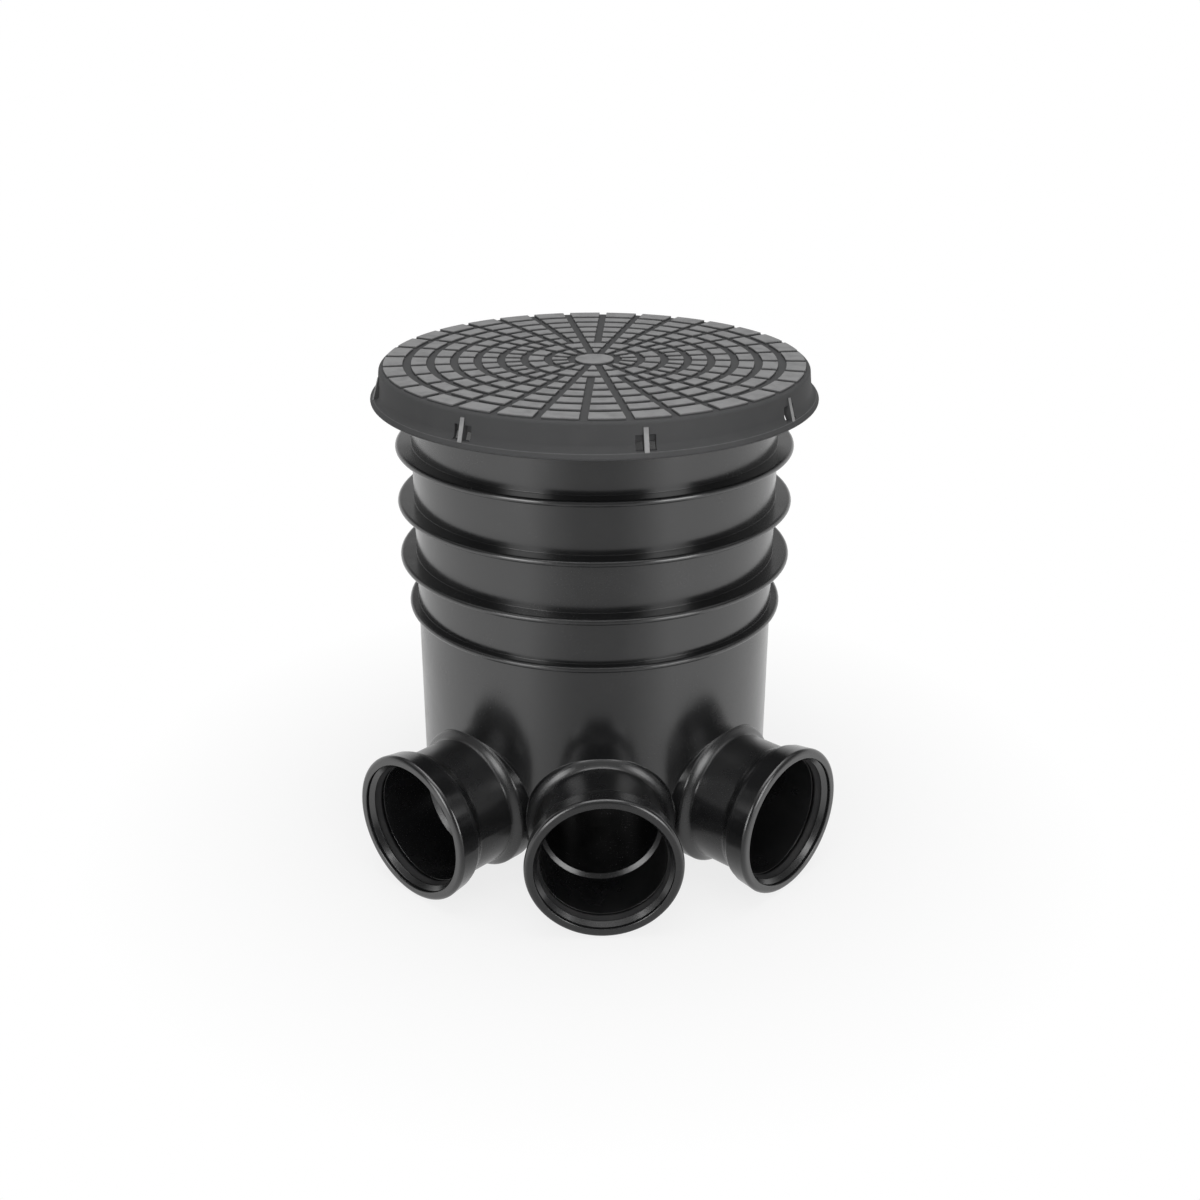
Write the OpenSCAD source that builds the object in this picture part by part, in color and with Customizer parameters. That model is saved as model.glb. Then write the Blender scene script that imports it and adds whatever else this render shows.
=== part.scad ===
// Shallow drain inspection chamber: a one-piece plastic body with a round shaft,
// three pipe sockets in front, one outlet behind, and a clip-on treaded cover.
// Origin: on the ground under the shaft's axis. +Z is up, -Y is the front inlet.

/* [Chamber shaft] */
// Height of the cover's top above the ground
overall_h = 450; // [420:1:600]
// Bore of the shaft
shaft_d = 322; // [318:1:330]
// Thickness of the moulded wall
wall_t = 5; // [4:0.1:6]
// Height of the wall's lower edge above the ground
skirt_z = 45; // [35:1:50]
// Thickness of the flange round the shaft's top
rim_t = 5; // [4:0.1:6]
// How far the top flange stands out of the wall
rim_reach = 18.3; // [17:0.1:20]

/* [Ribs round the shaft] */
// How far a rib stands out of the wall
rib_reach = 14.5; // [6:0.5:16]
// Thickness of a rib
rib_t = 5.5; // [4:0.5:8]
// Number of full ribs
rib_count = 3; // [1:1:3]
// Height from one rib to the next
rib_pitch = 52; // [40:1:54]
// Distance from the cover's top down to the middle of the first rib
rib_drop = 74; // [66:1:80]
// How far the lowest, smaller rib stands out of the wall
low_rib_reach = 8; // [4:0.5:12]
// Distance from the last full rib down to the middle of the smaller one
low_rib_drop = 47; // [40:1:50]

/* [Sockets] */
// Outer diameter of the pipe that the sockets take
pipe_d = 110; // [109:0.1:111]
// Radial clearance between the pipe and a socket
pipe_gap = 0.4; // [0.2:0.1:0.6]
// Wall of the pipe, which the stop covers, so that the channels have the pipe's own bore
pipe_wall = 3.5; // [3.2:0.1:4.5]
// Wall of a socket
socket_wall = 4; // [3.5:0.1:5]
// Clearance between the socket caps and the ground
ground_gap = 1.5; // [1:0.5:10]
// Angle between the front inlet and each side inlet
branch_angle = 45; // [44:1:50]
// How much smaller in radius the side channels are than the main one
branch_step = 1.2; // [0.5:0.1:3]
// How far the face of a socket's cap stands out of the shaft's wall
mouth_out = 74; // [70:1:95]
// How far the stop that the pipe meets stands out of the shaft's wall
stop_out = 4; // [3:0.5:8]
// How much wider in radius than the barrel the collar is where a socket meets the shaft's wall
root_r = 7; // [4:0.5:8]

/* [Benching and base] */
// Height of the benching at the shaft's wall above the socket axes
bench_rise = 66; // [62:1:75]
// Fall of the benching from the wall to the shaft's axis
bench_fall = 13; // [8:1:16]
// Outer radius of the ring that the chamber stands on
foot_r = 100; // [90:1:104]
// Thickness of the foot ring and of the fins round it
fin_t = 5; // [4:0.5:6]

/* [Socket caps and seals] */
// Thickness of a cap round the socket's cup
cap_wall = 2.9; // [2.4:0.1:4]
// How much thinner the cup that a cap snaps over is than the rest of a socket
cup_thinning = 0.6; // [0:0.1:1]
// Length of a cap along its socket
cap_l = 19; // [17:0.5:20]
// Radial clearance of a cap round the socket's cup
cap_gap = 0.2; // [0.1:0.05:0.3]
// Thickness of a cap's front lip
lip_t = 8; // [6:0.5:9]
// Radial depth of the seal's seat outside the pipe
seat_depth = 7; // [6:0.1:7.5]
// Length of a ring seal along the pipe
seal_l = 9; // [8:0.5:10]
// Radial clearance between the pipe and a seal that is pressed back
seal_gap = 0.5; // [0.4:0.1:0.8]

/* [Cover] */
// Thickness of the cover's skirt
skirt_t = 3.6; // [3:0.1:4.5]
// Radial clearance between the top flange and the cover's skirt
skirt_gap = 3.6; // [2.5:0.1:6]
// How far the flange at the foot of the skirt stands out
hem_reach = 8.5; // [7:0.5:11]
// Height of the cover's skirt below its plate
skirt_h = 29; // [28:0.5:31]
// Thickness of the cover's plate
plate_t = 4.3; // [3.5:0.1:5]
// Height of the tread blocks
tread_h = 2.2; // [1.5:0.1:3]
// Distance from one ring of tread blocks to the next
tread_pitch = 20.8; // [19:0.1:20.9]
// Width of the grooves between the rings of blocks
ring_groove = 7.5; // [5:0.5:10]
// Width of the grooves between the blocks of one ring
ray_groove = 7; // [4:0.5:8]
// Number of blocks in each outer ring
tread_count = 32; // [24:4:32]
// Depth of the ribs under the cover
web_h = 17; // [10:1:20]
// Number of ribs that run outwards under the cover
web_count = 16; // [8:4:24]
// Thickness of the ribs under the cover
web_t = 3; // [2:0.5:4]
// Number of snap lugs round the cover
lug_count = 8; // [4:1:8]
// Width of the niche in front of each snap lug
niche_w = 16.5; // [14:0.5:20]
// Thickness of the gusset in the middle of a niche
gusset_t = 4; // [3:0.5:6]

/* [Cover seal] */
// Width of the rubber ring under the cover
ring_w = 9; // [7:0.5:10]
// Height of the rubber ring under the cover
ring_h = 5; // [4:0.5:6]

/* [Hidden] */
$fn = 96;
eps = 0.01;
over = 1;

// Shaft and rim
shaft_r = shaft_d / 2;
wall_r = shaft_r + wall_t;
plate_top = overall_h - tread_h;
plate_low = plate_top - plate_t;
ring_sunk = ring_h / 2;
rim_top = plate_low - ring_h + ring_sunk;
rim_low = rim_top - rim_t;
rim_r = wall_r + rim_reach;
ring_r = (wall_r + rim_r) / 2;

// Sockets
bore_r = pipe_d / 2 + pipe_gap;
barrel_r = bore_r + socket_wall;
channel_r = pipe_d / 2 - pipe_wall;
stop_reach = wall_r + stop_out;
mouth_reach = wall_r + mouth_out;
shell_r = channel_r + wall_t;
wall_step = 0.6; // how much closer to the middle a channel's upright walls stand than its round bottom
seat_r = pipe_d / 2 + seat_depth;
cup_r = seat_r + socket_wall - cup_thinning;
cap_r = cup_r + cap_gap + cap_wall;
axis_z = cap_r + ground_gap;
bench_z = axis_z + bench_rise;
seat_far = mouth_reach - lip_t;
seat_near = seat_far - seal_l;
cup_near = seat_near - socket_wall;
flare_l = 12;
root_l = 9;
root_sunk = 2; // how deep behind the wall's surface the collar starts to narrow
stop_slope = 2.8; // how much deeper the pipe stop is at its inner edge
cap_near = mouth_reach - cap_l;
inlets = [0, -branch_angle, branch_angle];
outlet = 180;
directions = concat(inlets, [outlet]);

// Distance from the shaft's axis to where a socket's root is hidden within the wall
root_reach = sqrt(pow(wall_r, 2) - pow(barrel_r + root_r, 2)) - wall_t / 2;

// Cover
cover_r = rim_r + skirt_gap + skirt_t;
flange_r = cover_r + hem_reach;
skirt_low = plate_low - skirt_h + plate_t;
lug_w = niche_w - 2;
lug_gap = 0.5;
hook_t = 5;
hook_gap = 0.3;
hook_reach = 2.5;
first_lug = 10;
first_ray = 6.6;
web_gap = 2.5; // between the bore of the shaft and the webs
niche_z = 6; // height of the niches' lower edge above the skirt's foot
niche_h = 12;
niche_depth = 2.2;

// Fins under the benching
fin_angles = [90, 135, 225, 270];
fin_z = 10; // lowest corner of a fin

// Points of a quarter round: centre c, radius r, from angle a to angle b
function arc(c, r, a, b, n = 8) =
    [for (i = [0:n]) let(t = a + (b - a) * i / n) [c[0] + r * cos(t), c[1] + r * sin(t)]];

// Points of a soft S-shaped step from radius r0 at height z0 to radius r1 at height z1
function ease(r0, z0, r1, z1, n = 8) =
    [for (i = [0:n]) let(t = i / n) [r0 + (r1 - r0) * (1 - cos(180 * t)) / 2, z0 + (z1 - z0) * t]];

// Puts a shape drawn along +Z on the axis of the socket that faces angle a
module on_socket(a) {
    rotate([0, 0, a]) translate([0, 0, axis_z]) rotate([90, 0, 0]) children();
}

// Flat ring between two radii
module ring(r_out, r_in, z0, h) {
    translate([0, 0, z0]) difference() {
        cylinder(r = r_out, h = h);
        translate([0, 0, -over]) cylinder(r = r_in, h = h + 2 * over);
    }
}

// ---- Chamber body ----

// Rib round the shaft with rounded edge
module rib(z, reach) {
    edge = rib_t / 2;
    rotate_extrude() polygon(concat(
        [[wall_r - wall_t / 2, z - edge]],
        arc([wall_r + reach - edge, z], edge, -90, 90),
        [[wall_r - wall_t / 2, z + edge]]));
}

// How far a channel is narrowed: the side channels are, the main one isn't
function step_of(a) = abs(a) == branch_angle ? branch_step : 0;

// Outside of one socket: shell of the channel, collar, barrel, flare and the cup that holds the seal
module socket_outside(a) {
    r = shell_r - step_of(a);
    rotate_extrude() polygon(concat(
        [[0, 0], [r, 0], [r, root_reach], [barrel_r + root_r, root_reach]],
        ease(barrel_r + root_r, wall_r - root_sunk, barrel_r, wall_r - root_sunk + root_l),
        ease(barrel_r, cup_near - flare_l, cup_r, cup_near),
        [[cup_r, seat_far], [0, seat_far]]));
}

// Bore, pipe stop and seal seat of one socket, and the round part of its channel
module socket_inside(a) {
    r = channel_r - step_of(a);
    rotate_extrude() polygon([
        [0, 0], [r, 0], [r, stop_reach - stop_slope], [bore_r, stop_reach],
        [bore_r, seat_near], [seat_r, seat_near], [seat_r, seat_far + over], [0, seat_far + over]]);
}

// Upright wall of a channel on both sides of the flow, within the shaft
module channel_wall(a) {
    half_w = shell_r - step_of(a) - wall_step;
    h = bench_z - wall_t / 2 - axis_z;
    intersection() {
        translate([-half_w, 0, 0]) cube([2 * half_w, h, wall_r]);
        rotate([-90, 0, 0]) cylinder(r = shaft_r + wall_t / 2, h = h);
    }
}

// Slot between the upright walls of a channel
module channel_slot(a) {
    half_w = channel_r - step_of(a) - wall_step;
    translate([-half_w, -over, 0]) cube([2 * half_w, bench_z - axis_z + 2 * over, wall_r + over]);
}

// Space inside the shaft, above the benching and the channels
module shaft_space() {
    difference() {
        translate([0, 0, axis_z]) cylinder(r = shaft_r, h = overall_h - axis_z);
        difference() {
            rotate_extrude() polygon([
                [0, axis_z - over], [wall_r, axis_z - over],
                [wall_r, bench_z + bench_fall * wall_t / shaft_r], [0, bench_z - bench_fall]]);
            for (a = directions) on_socket(a) channel_slot(a);
        }
    }
}

// Benching plate between the channels
module benching() {
    rotate_extrude() polygon([
        [0, bench_z - bench_fall - wall_t], [shaft_r + wall_t / 2, bench_z - wall_t],
        [shaft_r + wall_t / 2, bench_z], [0, bench_z - bench_fall]]);
}

// Upright fin from the foot ring to the wall
module fin(a) {
    rotate([0, 0, a]) translate([fin_t / 2, 0, 0]) rotate([0, -90, 0]) linear_extrude(fin_t)
        polygon([[fin_z, -foot_r + fin_t], [skirt_z, -shaft_r - eps],
                 [bench_z - wall_t, -shaft_r - eps], [bench_z - bench_fall - wall_t / 2, -shell_r]]);
}

module chamber_body() color([0.13, 0.13, 0.14]) {
    difference() {
        union() {
            ring(wall_r, shaft_r, skirt_z, rim_top - skirt_z);
            ring(rim_r, shaft_r, rim_low, rim_t);
            for (i = [0:rib_count - 1]) rib(overall_h - rib_drop - i * rib_pitch, rib_reach);
            rib(overall_h - rib_drop - (rib_count - 1) * rib_pitch - low_rib_drop, low_rib_reach);
            benching();
            ring(foot_r, foot_r - fin_t, 0, bench_z - bench_fall);
            for (a = fin_angles) fin(a);
            for (a = directions) on_socket(a) {
                socket_outside(a);
                channel_wall(a);
            }
        }
        shaft_space();
        for (a = directions) on_socket(a) socket_inside(a);
        translate([0, 0, rim_top - ring_sunk]) ring(ring_r + ring_w / 2, ring_r - ring_w / 2, 0, ring_h);
    }
}

// ---- Cap and seal of one socket ----

// Ring that snaps over the cup and keeps the seal in its seat
module cap(a) color([0.16, 0.16, 0.17]) on_socket(a) {
    bead = 4; // rounding of the lip
    edge = 0.9; // thickness of the cap's rear edge
    taper = 0.6; // how much smaller the cap is behind its lip
    mouth_r = bore_r + 4.9;
    land = 3.5; // depth of the mouth before it narrows
    guide_r = bore_r + 1.4;
    chamfer = 0.5;
    rotate_extrude() polygon(concat(
        [[cup_r + cap_gap, cap_near], [cup_r + cap_gap + edge, cap_near],
         [cap_r - taper, mouth_reach - lip_t]],
        arc([cap_r - bead, mouth_reach - bead], bead, 0, 90),
        [[mouth_r + chamfer, mouth_reach], [mouth_r, mouth_reach - chamfer],
         [mouth_r, mouth_reach - land], [guide_r, seat_far + chamfer], [guide_r, seat_far],
         [cup_r + cap_gap, seat_far]]));
}

// Rubber ring that seals against the pipe
module seal(a) color([0.07, 0.07, 0.08]) on_socket(a) {
    in_r = pipe_d / 2 + seal_gap;
    chamfer = 2.5; // at the rear edge
    lead = 3; // how much wider the seal is at its front
    lip_z = 3.5; // where the lead ends, above the seal's rear face
    rotate_extrude() polygon([
        [in_r, seat_near + chamfer], [in_r + chamfer, seat_near], [seat_r, seat_near],
        [seat_r, seat_far], [in_r + lead, seat_far], [in_r, seat_near + lip_z]]);
}

module front_cap() cap(inlets[0]);
module left_cap() cap(inlets[1]);
module right_cap() cap(inlets[2]);
module outlet_cap() cap(outlet);
module front_seal() seal(inlets[0]);
module left_seal() seal(inlets[1]);
module right_seal() seal(inlets[2]);
module outlet_seal() seal(outlet);

// ---- Cover ----

// Rubber ring between the top flange and the cover
module cover_seal() color([0.07, 0.07, 0.08]) {
    ring(ring_r + ring_w / 2, ring_r - ring_w / 2, plate_low - ring_h, ring_h);
}

// Plate and skirt in one turned section
module cover_shell() {
    top_round = 3;
    hem = 3.2; // thickness of the flange at the foot
    draft = 1.4; // how much wider the skirt gets before it sweeps out
    sweep_in = 0.8;
    sweep_z = 11.5;
    hem_step = 1;
    mouth_w = 2;
    mouth_h = 9;
    corner_w = 2;
    corner_h = 5;
    in_r = cover_r - skirt_t;
    rotate_extrude() polygon(concat(
        [[0, plate_low], [0, plate_top]],
        arc([cover_r - top_round, plate_top - top_round], top_round, 90, 0),
        arc([flange_r - sweep_in, skirt_low + sweep_z], hem_reach - draft - sweep_in, 180, 250),
        arc([flange_r - hem / 2, skirt_low + hem / 2], hem / 2, 60, -90),
        [[flange_r - hem - hem_step, skirt_low], [in_r + mouth_w, skirt_low + mouth_h],
         [in_r, plate_low - corner_h], [in_r - corner_w, plate_low]]));
}

// Raised rings, cut into blocks by rays
module tread() {
    margin = 4; // from the blocks to the cover's edge
    short_rays = 3; // rings that every other ray leaves whole
    rings = floor((cover_r - margin) / tread_pitch);
    step = 360 / tread_count;
    translate([0, 0, plate_top - eps]) difference() {
        cylinder(r = rings * tread_pitch, h = tread_h + eps);
        for (k = [1:rings - 1])
            ring(k * tread_pitch + ring_groove / 2, k * tread_pitch - ring_groove / 2, eps, tread_h + over);
        for (i = [0:tread_count - 1]) rotate([0, 0, first_ray + i * step]) {
            inner = i % 2 == 0 ? tread_pitch : short_rays * tread_pitch;
            translate([-ray_groove / 2, inner, eps]) cube([ray_groove, cover_r, tread_h + over]);
        }
    }
}

// Webs under the plate: two rings and the rays between them
module webs() {
    outer = shaft_r - web_gap;
    inner = outer / 2;
    translate([0, 0, plate_low - web_h]) {
        ring(outer, outer - web_t, 0, web_h + eps);
        ring(inner, inner - web_t, 0, web_h + eps);
        for (i = [0:web_count - 1]) rotate([0, 0, i * 360 / web_count])
            translate([-web_t / 2, inner - web_t / 2, 0]) cube([web_t, outer - inner, web_h + eps]);
    }
}

// Snap lug inside the skirt, hooked under the top flange
module lug() {
    stem_r = rim_r + lug_gap;
    translate([-lug_w / 2, -cover_r + skirt_t / 2, rim_low - hook_t])
        cube([lug_w, cover_r - skirt_t / 2 - stem_r, plate_low - rim_low + hook_t + eps]);
    translate([-lug_w / 2, -stem_r - eps, rim_low - hook_t])
        cube([lug_w, lug_gap + hook_reach, hook_t - hook_gap]);
}

// Niche in the skirt in front of a lug
module niche() {
    translate([-niche_w / 2, -flange_r, skirt_low + niche_z])
        cube([niche_w, flange_r - cover_r + niche_depth, niche_h]);
}

// Gusset in the middle of a niche, from the plate's edge down to the flange at the skirt's foot
module gusset() {
    sunk = 0.8; // how deep its top and back reach into the wall
    proud = 1.2; // how far its upper end stands out of the skirt
    hem_in = 1.2;
    hem_z = 2.4;
    in_r = cover_r - skirt_t;
    translate([gusset_t / 2, 0, 0]) rotate([0, -90, 0]) linear_extrude(gusset_t)
        polygon([[skirt_low + hem_z, -flange_r + hem_in], [plate_low - sunk, -cover_r - proud],
                 [plate_low + proud, -cover_r + sunk], [plate_low, -in_r - sunk],
                 [skirt_low + niche_h, -in_r - sunk], [skirt_low + niche_z, -in_r - skirt_t],
                 [skirt_low + hem_z, -flange_r + skirt_t]]);
}

module cover() color([0.2, 0.2, 0.21]) {
    lugs = [for (i = [0:lug_count - 1]) first_lug + i * 360 / lug_count];
    difference() {
        union() {
            cover_shell();
            tread();
            webs();
            for (a = lugs) rotate([0, 0, a]) lug();
        }
        for (a = lugs) rotate([0, 0, a]) niche();
    }
    for (a = lugs) rotate([0, 0, a]) gusset();
}

chamber_body();
cover();
cover_seal();
front_cap();
left_cap();
right_cap();
outlet_cap();
front_seal();
left_seal();
right_seal();
outlet_seal();
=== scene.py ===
# %% [markdown]
# # A drain inspection chamber
# The object is a shallow chamber of black plastic that is buried in the ground where drains meet.
# A round shaft with ribs carries a treaded cover, and four pipe sockets come out of its foot.
# The construction comes ready-made at its real size, in metres, as a fixed frame.
# This lesson adds what the eye needs: finishes, signs of handling, a floor, light and a camera.

# %% Load the construction
import math

import bpy
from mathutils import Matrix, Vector


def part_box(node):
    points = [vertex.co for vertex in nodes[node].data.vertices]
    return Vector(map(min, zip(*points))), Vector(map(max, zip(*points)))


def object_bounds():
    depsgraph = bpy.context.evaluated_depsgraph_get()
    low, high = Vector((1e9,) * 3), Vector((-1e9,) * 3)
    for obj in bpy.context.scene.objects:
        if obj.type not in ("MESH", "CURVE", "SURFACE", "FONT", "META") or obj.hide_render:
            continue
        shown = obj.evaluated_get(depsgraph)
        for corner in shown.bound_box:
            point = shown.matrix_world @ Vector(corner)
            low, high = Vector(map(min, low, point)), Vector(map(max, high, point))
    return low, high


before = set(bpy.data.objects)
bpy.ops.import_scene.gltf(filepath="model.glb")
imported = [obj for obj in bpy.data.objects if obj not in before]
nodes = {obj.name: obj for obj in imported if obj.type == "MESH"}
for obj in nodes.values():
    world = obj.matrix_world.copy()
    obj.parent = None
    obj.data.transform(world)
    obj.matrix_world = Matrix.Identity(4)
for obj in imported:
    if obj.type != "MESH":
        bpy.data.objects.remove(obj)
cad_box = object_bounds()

mm = 0.001
low, high = cad_box
print("pieces in the frame:", ", ".join(sorted(nodes)))
print("size of the chamber in mm:", [round(side / mm) for side in high - low])

# %% [markdown]
# ## Measuring the frame
# Nothing is typed in twice: heights and radii are read from the boxes of the ready-made pieces.
# The cover gives the top of the chamber, and a cap gives the height of the pipe sockets. Only the
# shaft's wall has no box of its own, because the sockets share its piece, so it is written down.

# %% Heights and radii
cover_low, cover_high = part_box("cover")
socket_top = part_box("front_cap")[1].z
top_z = cover_high.z
foot_z = cover_low.z
cover_r = cover_high.x
shaft_r = 166 * mm
print("cover top", round(top_z, 4), "and radius", round(cover_r, 4))
print("socket top", round(socket_top, 4))

# %% [markdown]
# ## The camera
# The chamber is looked at from a little above, as a person would see it on a table.
# A camera that stands almost straight in front of the shaft, higher than the cover, sees both the
# tread and the three inlets. Its place is given by its distance from the shaft's axis and its
# height above the cover, and its lens by how much of the picture the chamber fills. The shaft's
# axis stands a little to the left of the middle, by a share of the picture's width.

# %% Place the camera
view_turn = math.radians(-2)
view_distance = 1.298
view_height = 0.3268
view_tilt = math.radians(23.39)
axis_off_middle = 0.00458

camera_data = bpy.data.cameras.new("camera")
camera_data.sensor_width = 36
camera_data.lens = 44.45
camera_data.shift_x = axis_off_middle
camera = bpy.data.objects.new("camera", camera_data)
camera.location = (
    view_distance * math.sin(view_turn),
    -view_distance * math.cos(view_turn),
    top_z + view_height,
)
camera.rotation_euler = (math.pi / 2 - view_tilt, 0, view_turn)
bpy.context.scene.collection.objects.link(camera)
bpy.context.scene.camera = camera
print("camera at", [round(x, 3) for x in camera.location])

# %% [markdown]
# ## Writing materials as sums
# A finish is easier to read as a formula than as a tangle of nodes. The class below stands for one
# socket of a material. Adding or multiplying two of them puts a Math node behind the scenes.
# Everything that isn't plain maths comes from one method, `node`.

# %% A socket that can be calculated with
class Value:
    """One output of a node, which plain maths turns into further nodes."""

    def __init__(self, tree, socket):
        self.tree = tree
        self.socket = socket

    def maths(self, operation, *others, clamp=False):
        """Adds a Math node that works on this value first and then on the others."""
        made = self.tree.nodes.new("ShaderNodeMath")
        made.operation = operation
        made.use_clamp = clamp
        for place, item in enumerate((self, *others)):
            plug(self.tree, made.inputs[place], item)
        return Value(self.tree, made.outputs[0])

    def __add__(self, other):
        return self.maths("ADD", other)

    def __sub__(self, other):
        return self.maths("SUBTRACT", other)

    def __rsub__(self, other):
        return (self * -1) + other

    def __mul__(self, other):
        return self.maths("MULTIPLY", other)

    def __truediv__(self, other):
        return self.maths("DIVIDE", other)

    def clamped(self):
        return self.maths("ADD", 0.0, clamp=True)


def plug(tree, socket, item):
    """Gives a socket a value, or links another node's output to it."""
    if isinstance(item, Value):
        tree.links.new(item.socket, socket)
    else:
        socket.default_value = item


print("sockets can be added, subtracted, multiplied and divided")

# %% [markdown]
# A finish needs a material with a Principled shader in it, and a short way to add any other node.
# Settings, such as the kind of a noise, are set before the sockets, because they can change which
# sockets there are. All patterns run on Object coordinates, so they lie still on the moulding.

# %% A material that adds its own nodes
class Finish:
    """A material, its Principled shader and a short way to add nodes to it."""

    # A Mix node has inputs for every kind of data. These are the places of its colours.
    colour_a, colour_b, colour_out = 6, 7, 2

    def __init__(self, name):
        self.material = bpy.data.materials.new(name)
        self.material.use_nodes = True
        self.tree = self.material.node_tree
        self.shader = self.tree.nodes["Principled BSDF"]
        self.place = self.node("TexCoord", {}, out="Object")

    def node(self, kind, settings, out=0, **inputs):
        """Adds a node of a kind, with its settings and inputs, and returns one of its outputs."""
        made = self.tree.nodes.new("ShaderNode" + kind)
        for name, value in settings.items():
            setattr(made, name, value)
        for name, item in inputs.items():
            plug(self.tree, made.inputs[name.replace("_", " ")], item)
        return Value(self.tree, made.outputs[out])

    def set(self, **inputs):
        """Gives values to the Principled shader's own sockets."""
        for name, item in inputs.items():
            plug(self.tree, self.shader.inputs[name.replace("_", " ")], item)

    def noise(self, scale, detail=2.0, roughness=0.5):
        """A cloudy pattern between 0 and 1, with about so many clouds to the metre."""
        return self.node(
            "TexNoise", {}, Vector=self.place, Scale=scale, Detail=detail, Roughness=roughness
        )

    def ramp(self, amount, start, end):
        """0 where amount is below start, 1 where it is above end, and even in between."""
        return self.node("MapRange", {"clamp": True}, Value=amount, From_Min=start, From_Max=end)

    def axes(self):
        """The place on the piece as three numbers: x, y and z."""
        return [self.node("SeparateXYZ", {}, out=axis, Vector=self.place) for axis in "XYZ"]

    def blend(self, amount, first, second):
        """A mix of two colours."""
        made = self.tree.nodes.new("ShaderNodeMix")
        made.data_type = "RGBA"
        plug(self.tree, made.inputs["Factor"], amount)
        plug(self.tree, made.inputs[self.colour_a], first)
        plug(self.tree, made.inputs[self.colour_b], second)
        return Value(self.tree, made.outputs[self.colour_out])


print("a finish starts with a Principled shader")

# %% [markdown]
# ## Moulded polypropylene
# The chamber is injection moulded in polypropylene that is coloured with carbon black. Up close
# such a surface isn't one flat black. It has a fine grain from the steel of the mould, a slow
# waviness where the plastic shrank, and greyer, duller patches where it was handled.
# The grain and the waviness are bumps, and the patches change colour and roughness a little.
# Moulded edges are never sharp, so a Bevel node rounds them for the light.
# Each pattern has a scale, which is about how many of its clouds fit in a metre, and a span: no
# mark shows where the noise is below the span, and a full one where it is above.

# %% The recipe for a moulded plastic
patch_scale, patch_span = 14.0, (0.45, 0.7)
smear_scale, smear_span = 55.0, (0.5, 0.75)
speck_scale, speck_span = 900.0, (0.68, 0.74)
highlight_patch_scale, highlight_patch_span = 90.0, (0.2, 0.6)
patch_share, smear_share, speck_share = 0.5, 0.2, 0.3
highlight_patch_floor = 0.65
dulled_by_wear = 0.14
duller_by = 0.06
wave_scale, wave_depth = 22.0, 0.25 * mm
grain_scale = 1600.0


def moulded_plastic(
    name, colour, worn_colour, roughness, grain, edge_radius, ior, specular, painted_highlights=(), duller=None
):
    """A worn plastic, with a painted highlight where painted_highlights says and duller where
    duller says.
    """
    finish = Finish(name)
    patches = finish.ramp(finish.noise(patch_scale, detail=4.0), *patch_span)
    smears = finish.ramp(finish.noise(smear_scale, detail=3.0), *smear_span)
    specks = finish.ramp(finish.noise(speck_scale, detail=1.0), *speck_span)
    wear = (patches * patch_share + smears * smear_share + specks * speck_share).clamped()
    shade = finish.blend(wear, (*colour, 1), (*worn_colour, 1))
    # A noise breaks the painted highlights into patches.
    highlight_patches = finish.ramp(finish.noise(highlight_patch_scale, detail=4.0), *highlight_patch_span)
    highlight_patches = highlight_patches * (1 - highlight_patch_floor) + highlight_patch_floor
    # Painted highlight: a pale colour laid where a mask says, standing in for light that falls
    # there.
    for where, highlight_colour in painted_highlights:
        shade = finish.blend(where(finish) * highlight_patches, shade, (*highlight_colour, 1))
    dullness = wear * dulled_by_wear + roughness
    if duller:
        dullness = dullness + duller(finish) * duller_by
    finish.set(Base_Color=shade, Roughness=dullness, IOR=ior, Specular_IOR_Level=specular)
    rounded = finish.node("Bevel", {"samples": 4}, Radius=edge_radius)
    waves = finish.noise(wave_scale, detail=1.0) * wave_depth
    relief = waves + finish.noise(grain_scale) * grain
    finish.set(
        Normal=finish.node("Bump", {}, Height=relief, Distance=1.0, Strength=1.0, Normal=rounded)
    )
    return finish.material


print("a moulded plastic has a grain, worn patches and waves of", wave_depth / mm, "mm")

# %% [markdown]
# ## The body and the caps
# Body and caps come out of polished moulds and are nearly a mirror: deep black, with a clear but
# soft reflection. The sockets are a little duller than the shaft, because the pipes are pushed on
# there and the mould has slides. A mask says where they are: further out than the shaft's wall,
# and no higher than the caps.

# %% The glossy black of body and caps
black = (0.010, 0.0102, 0.0108)
worn_black = (0.016, 0.016, 0.0163)
gloss = dict(roughness=0.2, grain=0.003 * mm, ior=1.8, specular=0.5)
off_the_wall = (shaft_r, shaft_r + 6 * mm)
over_the_sockets = (socket_top + 6 * mm, socket_top + 16 * mm)


def on_the_sockets(finish):
    """1 on the pipe sockets, 0 on the shaft and its ribs."""
    x, y, z = finish.axes()
    radius = (x * x + y * y).maths("SQRT")
    too_high = finish.ramp(z, *over_the_sockets)
    return finish.ramp(radius, *off_the_wall) * (1 - too_high)


body_finish = moulded_plastic(
    "body_plastic", black, worn_black, edge_radius=0.9 * mm, duller=on_the_sockets, **gloss
)
cap_finish = moulded_plastic("cap_plastic", black, worn_black, edge_radius=0.6 * mm, **gloss)
print("glossy finishes:", body_finish.name, "and", cap_finish.name)

# %% [markdown]
# ## The cover
# The cover is a matt, slightly greyer moulding. The tops of its blocks and the outer edges of the
# fins round its skirt are painted pale, in patches: a painted highlight where light from above
# falls on them. The blocks are found by their height. The fins run straight while the skirt behind
# them is hollow, so their edges are found as what stands further out than that straight line.
# The line starts at a radius just above the cover's foot and draws in as it rises.

# %% The matt grey of the cover
grey, worn_grey = (0.070, 0.0705, 0.072), (0.090, 0.090, 0.091)
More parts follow.
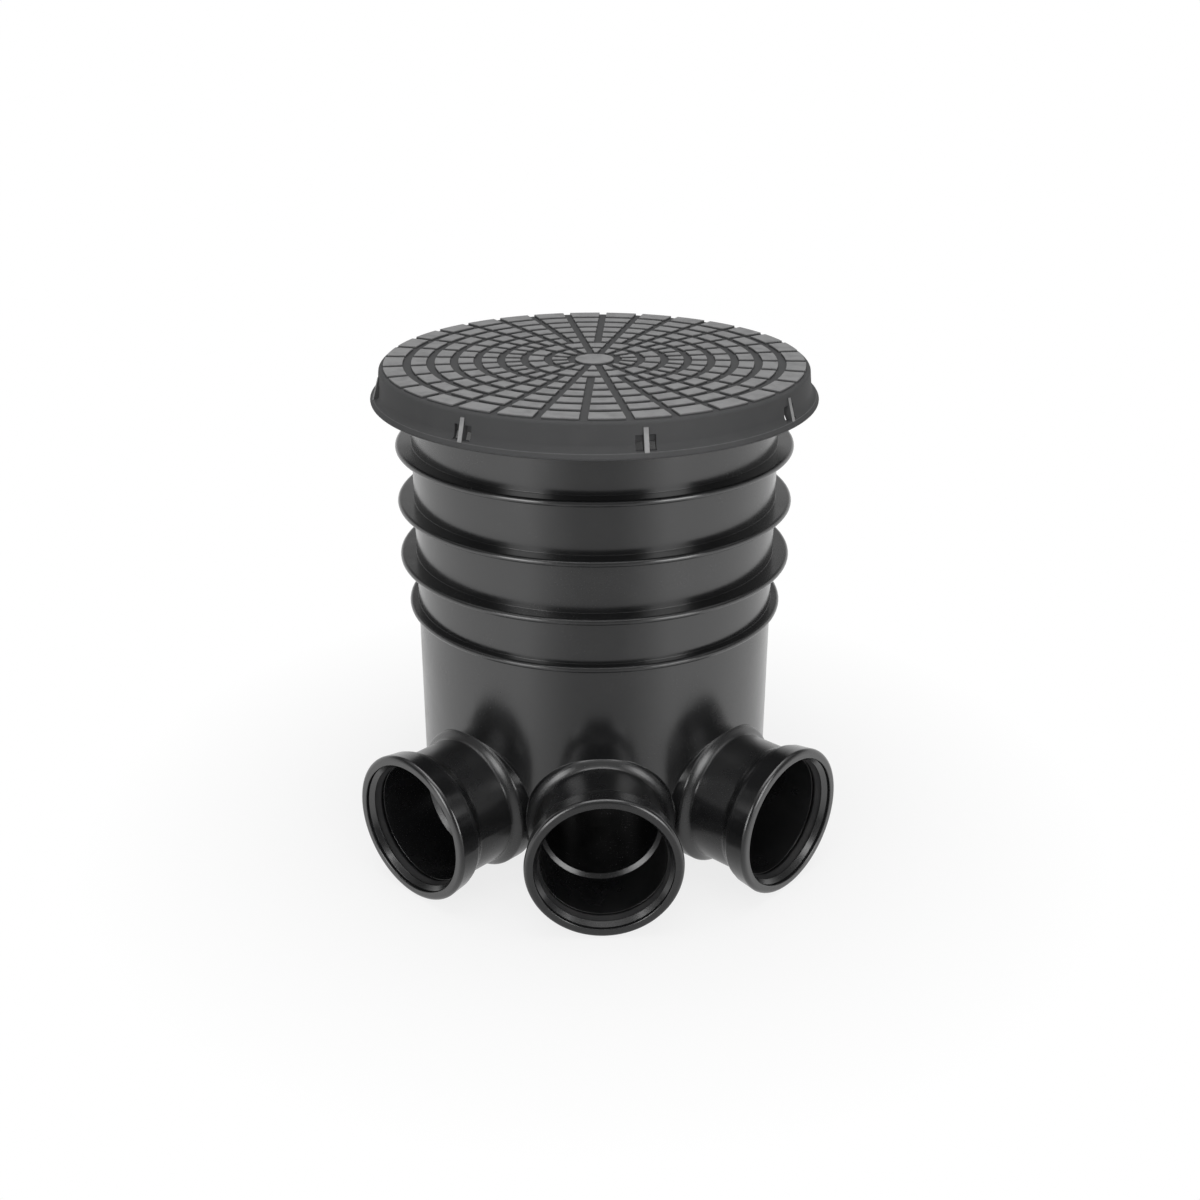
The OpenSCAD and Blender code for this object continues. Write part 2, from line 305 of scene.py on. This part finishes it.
# Painted highlights: pale colours for the block tops and fin edges, where light from above falls.
painted_tread_highlight, painted_fin_highlight = (0.300, 0.300, 0.302), (0.380, 0.380, 0.382)
tread_span = (top_z - 1.4 * mm, top_z - 0.2 * mm)
fin_foot_r = cover_r - 1.2 * mm
fin_foot = 2.4 * mm
fin_lean = 0.265
fin_edge_span = (-0.8 * mm, -0.3 * mm)
fin_height_span = (fin_foot + 2.2 * mm, fin_foot + 3.2 * mm)


def on_the_tread(finish):
    """1 on top of the cover's blocks, 0 in the grooves between them."""
    _, _, z = finish.axes()
    return finish.ramp(z, *tread_span)


def on_the_fins(finish):
    """1 on the outer edges of the fins, which stand out of the hollow flare of the skirt."""
    x, y, z = finish.axes()
    radius = (x * x + y * y).maths("SQRT")
    above_foot = z - foot_z
    fin_edge = fin_foot_r - (above_foot - fin_foot) * fin_lean
    proud = finish.ramp(radius - fin_edge, *fin_edge_span)
    return proud * finish.ramp(above_foot, *fin_height_span)


cover_finish = moulded_plastic(
    "cover_plastic", grey, worn_grey,
    roughness=0.66, grain=0.01 * mm, edge_radius=0.6 * mm, ior=1.5, specular=0.2,
    # The block tops and fin edges get painted highlights.
    painted_highlights=((on_the_tread, painted_tread_highlight), (on_the_fins, painted_fin_highlight)),
)
print("matt finish:", cover_finish.name)

# %% [markdown]
# ## Rubber
# The ring seals are EPDM rubber: blacker and much duller than the plastic, with a powdery bloom.

# %% The rubber of the seals
clean_rubber, bloomed_rubber = (0.012, 0.012, 0.013, 1), (0.028, 0.027, 0.027, 1)
rubber_roughness, dulled_by_bloom = 0.62, 0.15
bloom_scale, bloom_span = 70.0, (0.45, 0.75)
powder_scale, powder_depth = 800.0, 0.02 * mm


def rubber(name):
    """A dull black rubber with a greyer bloom in patches."""
    finish = Finish(name)
    bloom = finish.ramp(finish.noise(bloom_scale, detail=3.0), *bloom_span)
    powder = finish.noise(powder_scale) * powder_depth
    finish.set(
        Base_Color=finish.blend(bloom, clean_rubber, bloomed_rubber),
        Roughness=bloom * dulled_by_bloom + rubber_roughness,
        Normal=finish.node("Bump", {}, Height=powder, Distance=1.0, Strength=1.0),
    )
    return finish.material


seal_finish = rubber("seal_rubber")
print("rubber finish:", seal_finish.name)

# %% Give each ready-made piece its finish
finish_of = {"chamber_body": body_finish, "cover": cover_finish}
for name, piece in nodes.items():
    if name.endswith("_cap"):
        finish_of[name] = cap_finish
    if name.endswith("_seal"):
        finish_of[name] = seal_finish
    piece.data.materials.clear()
    piece.data.materials.append(finish_of[name])
print("finished pieces:", len(finish_of))

# %% [markdown]
# ## The floor
# A glossy black object shows the room more than its own colour, so the room is half of the finish.
# The floor is pale and keeps a soft shadow round the foot. For the camera and in reflections it
# glows white, as a floor in a bright studio does, and gives the shaft two pale upright bands.
# Only the strip of floor in front of the chamber is reflected darker, which leaves the middle of
# the shaft dark. The strip is found by how straight in front a spot lies: 1 is straight in front,
# and 0 is to the side.

# %% What kind of ray is looking
def kinds_of_ray(tree):
    """1 or 0 for rays from the camera, off a glossy surface and through a clear one."""
    rays = tree.nodes.new("ShaderNodeLightPath")
    kinds = ("Camera", "Glossy", "Transmission")
    return [Value(tree, rays.outputs[f"Is {kind} Ray"]) for kind in kinds]


# %% The floor's size and finish
floor_size = 30.0
near_glow = 0.8
near_r, far_r = 0.2, 0.5
strip_start, strip_end = 0.77, 0.98
white, dimmed = (1, 1, 1, 1), (0.45, 0.45, 0.45, 1)

bpy.ops.object.select_all(action="DESELECT")
bpy.ops.mesh.primitive_plane_add(size=floor_size, location=(0, 0, low.z))
floor = bpy.context.object
floor.name = "floor"
bpy.ops.object.transform_apply(location=True, rotation=True, scale=True)

floor_finish = Finish("floor_white")
floor_finish.set(Base_Color=(0.86, 0.86, 0.86, 1), Roughness=0.9, Specular_IOR_Level=0.1)
x, y, _ = floor_finish.axes()
away = (x * x + y * y).maths("SQRT")
in_front = floor_finish.ramp(y / away * -1, strip_start, strip_end)
seen, mirrored, through = kinds_of_ray(floor_finish.tree)
glow_colour = floor_finish.blend(mirrored * in_front, white, dimmed)
glow = floor_finish.node("Emission", {}, Color=glow_colour, Strength=1.0)
glowing = floor_finish.ramp(away, near_r, far_r) * (1 - near_glow) + near_glow
mixed = floor_finish.tree.nodes.new("ShaderNodeMixShader")
plug(floor_finish.tree, mixed.inputs[0], (seen + mirrored + through).clamped() * glowing)
floor_finish.tree.links.new(floor_finish.shader.outputs[0], mixed.inputs[1])
plug(floor_finish.tree, mixed.inputs[2], glow)
output = floor_finish.tree.nodes["Material Output"]
floor_finish.tree.links.new(mixed.outputs[0], output.inputs["Surface"])
floor.data.materials.append(floor_finish.material)
print("floor", floor_size, "m wide, glowing fully from", far_r, "m outwards")

# %% [markdown]
# ## The world
# The camera sees white all round. Reflections see a room: a white wall low down behind the
# chamber, a grey ceiling, and a darker rest. Everything else is lit evenly and softly.
# The room is a formula of the direction that a ray goes: how far backwards, and how far upwards.

# %% A room for the reflections
ambient = 0.22
room = 0.14
ceiling_glow = 0.5
wall_sharpness, wall_middle = 2.5, 0.5
wall_top, wall_fade = 1.5, 3.4
ceiling_start, ceiling_sharpness = 0.62, 4.0

world = bpy.data.worlds.new("studio")
bpy.context.scene.world = world
world.use_nodes = True
background = world.node_tree.nodes["Background"]
background.inputs["Color"].default_value = white
seen, mirrored, through = kinds_of_ray(world.node_tree)
direction = world.node_tree.nodes.new("ShaderNodeTexCoord")
apart = world.node_tree.nodes.new("ShaderNodeSeparateXYZ")
world.node_tree.links.new(direction.outputs["Generated"], apart.inputs[0])
backwards = Value(world.node_tree, apart.outputs["Y"])
upwards = Value(world.node_tree, apart.outputs["Z"])
behind = (backwards * wall_sharpness + wall_middle).clamped()
low_down = (wall_top - upwards * wall_fade).clamped()
ceiling = ((upwards - ceiling_start) * ceiling_sharpness).clamped() * ceiling_glow
reflected = behind * low_down * (1 - room) + room + ceiling
mirror = (mirrored + through).clamped()
unseen = mirror * reflected + (1 - mirror) * ambient
plug(world.node_tree, background.inputs["Strength"], seen + (1 - seen) * unseen)
print("world: ambient", ambient, "and a room at", room)

# %% [markdown]
# ## The lights
# A wide front light and a top light shape the matt cover. The front light is kept out of
# reflections, or it would lie as a grey veil over every glossy edge. Two tall soft boxes, one on
# each side, do the opposite: they show only in reflections, as pale upright streaks on the ribs
# and the sockets.

# %% Soft lights round the chamber
def soft_light(name, turn, rise, distance, width, height, power):
    """A rectangular light that faces the middle of the chamber, with its angles in degrees."""
    data = bpy.data.lights.new(name, "AREA")
    data.shape = "RECTANGLE"
    data.size = width
    data.size_y = height
    data.energy = power
    light = bpy.data.objects.new(name, data)
    bpy.context.scene.collection.objects.link(light)
    a, e = math.radians(turn), math.radians(rise)
    way = Vector((math.sin(a) * math.cos(e), -math.cos(a) * math.cos(e), math.sin(e)))
    middle = Vector((0, 0, top_z / 2))
    light.location = middle + way * distance
    light.rotation_euler = (-way).to_track_quat("-Z", "Y").to_euler()
    return light


soft_light("top_light", turn=0, rise=88, distance=2.0, width=1.8, height=1.8, power=22)
front_light = soft_light(
    "front_light", turn=0, rise=24, distance=2.4, width=3.4, height=2.0, power=26
)
front_light.visible_glossy = False
for side, turn in (("left", -42), ("right", 42)):
    soft_box = soft_light(
        side + "_light", turn=turn, rise=14, distance=1.9, width=0.75, height=1.1, power=11
    )
    soft_box.visible_diffuse = False

# %% [markdown]
# ## Finish
# The picture shows its colours through the Standard view transform.

# %% Finish
bpy.context.scene.view_settings.view_transform = "Standard"
